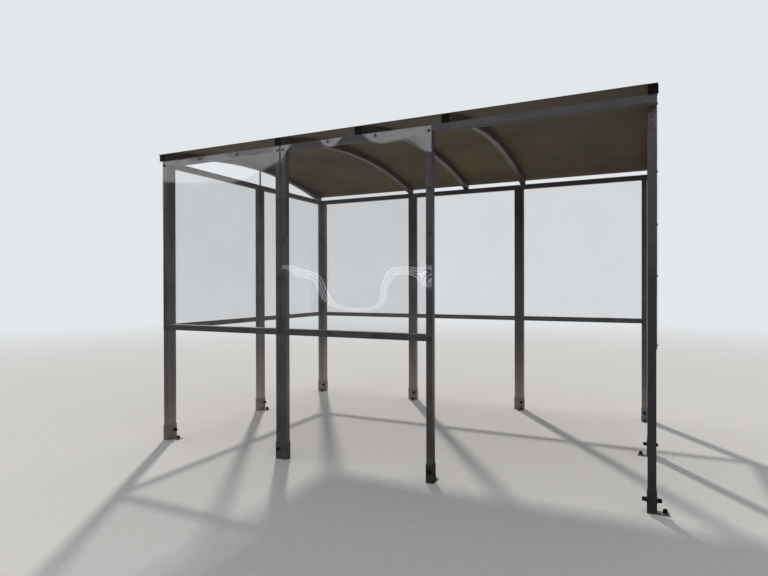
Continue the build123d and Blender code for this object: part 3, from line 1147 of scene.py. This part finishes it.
def on_sheets(outside, spots):
    """Seats on the clear sheets, straight in from each spot outside: a seal rests on the
    highest point of the sheet under its rim."""
    outside = Vector(outside)
    sideways = outside.cross(Vector((0, 0, 1)))
    rim = [
        (sideways * math.cos(turn) + Vector((0, 0, 1)) * math.sin(turn)) * SEAL_RIM
        for turn in [math.pi / 4 * eighth for eighth in range(8)]
    ]
    found = []
    bpy.context.view_layer.update()
    sheets = [thing for thing in bpy.data.objects if "_clear_sheet_" in thing.name]
    for start in spots:
        depths = []
        for probe in [start] + [start + step for step in rim]:
            for sheet in sheets:
                hit, place, *rest = sheet.ray_cast(probe, -outside, distance=4 * STAND_OFF)
                if hit:
                    depths.append((place - probe).length)
        if depths:
            found.append((start - outside * (min(depths) + SEAL_SUNK), outside))
    return found


def screw_down(side, spots):
    """Seal and screw at each spot of one side's sheets."""
    set_out(seal, side + "_sheet_seals", spots)
    set_out(button_screw, side + "_sheet_screws", spots)


outside_front = [Vector((x, FRONT_FACE - STAND_OFF, z)) for x, z in front_screws]
screw_down("front", on_sheets((0, -1, 0), outside_front))
for side, outside in (("back", (0, 1, 0)), ("left", (-1, 0, 0)), ("right", (1, 0, 0))):
    spots = []
    for of_side, place, points in other_sheets:
        if of_side == side:
            spots += [place @ Vector((along, -STAND_OFF, up)) for along, up in points]
    screw_down(side, on_sheets(outside, spots))

# ---------------------------------------------------------------------------
# Roof ribs and struts
# Arched ribs of the same aluminium tube, rolled to one curve, stand on the front and back
# rails. Their open ends are closed with black plastic caps. A thin strut steadies each end
# rib over the joint of the side panels.
# ---------------------------------------------------------------------------
# under the roof the tube has stayed drier and keeps more of its metal sheen
rib_aluminium = mill_aluminium(
    "mill_aluminium_ribs", "Y", sheen=0.70, roughness=0.36, painted_shade_below=0.38
)
RIBS = ("left_rib", "second_rib", "middle_rib", "fourth_rib", "right_rib")
dress(RIBS, rib_aluminium)
dress(("rib_end_caps",), black)
dress(("end_struts",), aluminium_upright)

# ---------------------------------------------------------------------------
# Roof
# Two opaque brown grey plastic sheets, bent over the ribs and screwed down along them.
# Satin beneath, dusty with rain marks on top.
# ---------------------------------------------------------------------------
roof, tree, output = new_material("satin_opaque_polycarbonate")
coords = add_node(tree, "TexCoord").outputs["Object"]
clouds = add_node(
    tree, "TexNoise", {"Vector": coords, "Scale": 2.2, "Detail": 7.0, "Roughness": 0.6}
)
tone = add_node(tree, "ValToRGB", {"Fac": clouds.outputs["Fac"]})
tone.color_ramp.elements[0].position = 0.3
tone.color_ramp.elements[0].color = linear("#504839")
tone.color_ramp.elements[1].position = 0.72
tone.color_ramp.elements[1].color = linear("#635B49")
# rain marks run down the slope, 20 to 60 mm apart
runs = add_node(tree, "Mapping", {"Vector": coords, "Scale": (30.0, 1.2, 1.0)})
marks = add_node(
    tree, "TexNoise",
    {"Vector": runs.outputs["Vector"], "Scale": 1.0, "Detail": 5.0, "Roughness": 0.65},
)
up = add_node(tree, "SeparateXYZ", {"Vector": add_node(tree, "NewGeometry").outputs["Normal"]})
top = add_node(
    tree, "MapRange", {"Value": up.outputs["Z"], "From Min": 0.2, "From Max": 0.8, "To Max": 0.6}
)
top_dust = add_node(
    tree, "Math", {0: top.outputs["Result"], 1: marks.outputs["Fac"]}, operation="MULTIPLY"
)
layered_colour = add_node(
    tree, "Mix",
    {0: top_dust.outputs["Value"], 6: tone.outputs["Color"], 7: linear("#8F8778")},
    data_type="RGBA",
)
# the sheet's own texture: a soft ripple of about 12 mm
ripple = add_node(tree, "TexNoise", {"Vector": coords, "Scale": 80.0, "Detail": 3.0})
gloss = add_node(tree, "MapRange", {"Value": marks.outputs["Fac"], "To Min": 0.55, "To Max": 0.68})
gloss = add_node(
    tree, "Math",
    {0: top.outputs["Result"], 1: 0.2, 2: gloss.outputs["Result"]},
    operation="MULTIPLY_ADD",
)
bump = add_node(
    tree, "Bump", {"Height": ripple.outputs["Fac"], "Strength": 0.25, "Distance": 0.0008}
)
surface = add_node(
    tree, "BsdfPrincipled",
    {
        "Base Color": layered_colour.outputs[2], "Roughness": gloss.outputs["Value"],
        "Normal": bump.outputs["Normal"], "IOR": 1.58, "Specular IOR Level": 0.1,
    },
)
tree.links.new(surface.outputs["BSDF"], output.inputs["Surface"])
dress(("left_roof_sheet", "right_roof_sheet"), roof)

# Roof screws: hexagon heads on the same sealing washers, four along each rib
TUBE = 0.040
ROOF_SCREW_SHARES = (0.05, 0.27, 0.73, 0.95)
FROM_SEAM = 0.013
ABOVE_ROOF = 3.0
# a screw's foot stands on its seal's domed top
ON_SEAL = 0.0022
seal_spots = []
screw_spots = []
for name in RIBS:
    rib_low, rib_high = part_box(name)
    skew = (rib_high[0] - rib_low[0]) - TUBE
    for share in ROOF_SCREW_SHARES:
        y = rib_low[1] + share * (rib_high[1] - rib_low[1])
        x = rib_low[0] + TUBE / 2 + skew * share
        # over the middle rib the two sheets meet, and each has its own row of screws
        for x_screw in ((x - FROM_SEAM, x + FROM_SEAM) if name == "middle_rib" else (x,)):
            for sheet in (nodes["left_roof_sheet"], nodes["right_roof_sheet"]):
                hit, spot, normal, *rest = sheet.ray_cast((x_screw, y, ABOVE_ROOF), (0, 0, -1))
                if hit:
                    seal_spots.append((spot - normal * SEAL_SUNK, normal))
                    screw_spots.append((spot + normal * ON_SEAL, normal))
set_out(seal, "roof_screw_seals", seal_spots)
set_out(hexagon_screw, "roof_screws", screw_spots)

# the small parts that the copies were made from aren't pieces themselves
for master in (tall_cap, low_cap, washer, seal, button_screw, hexagon_screw):
    bpy.data.objects.remove(master)
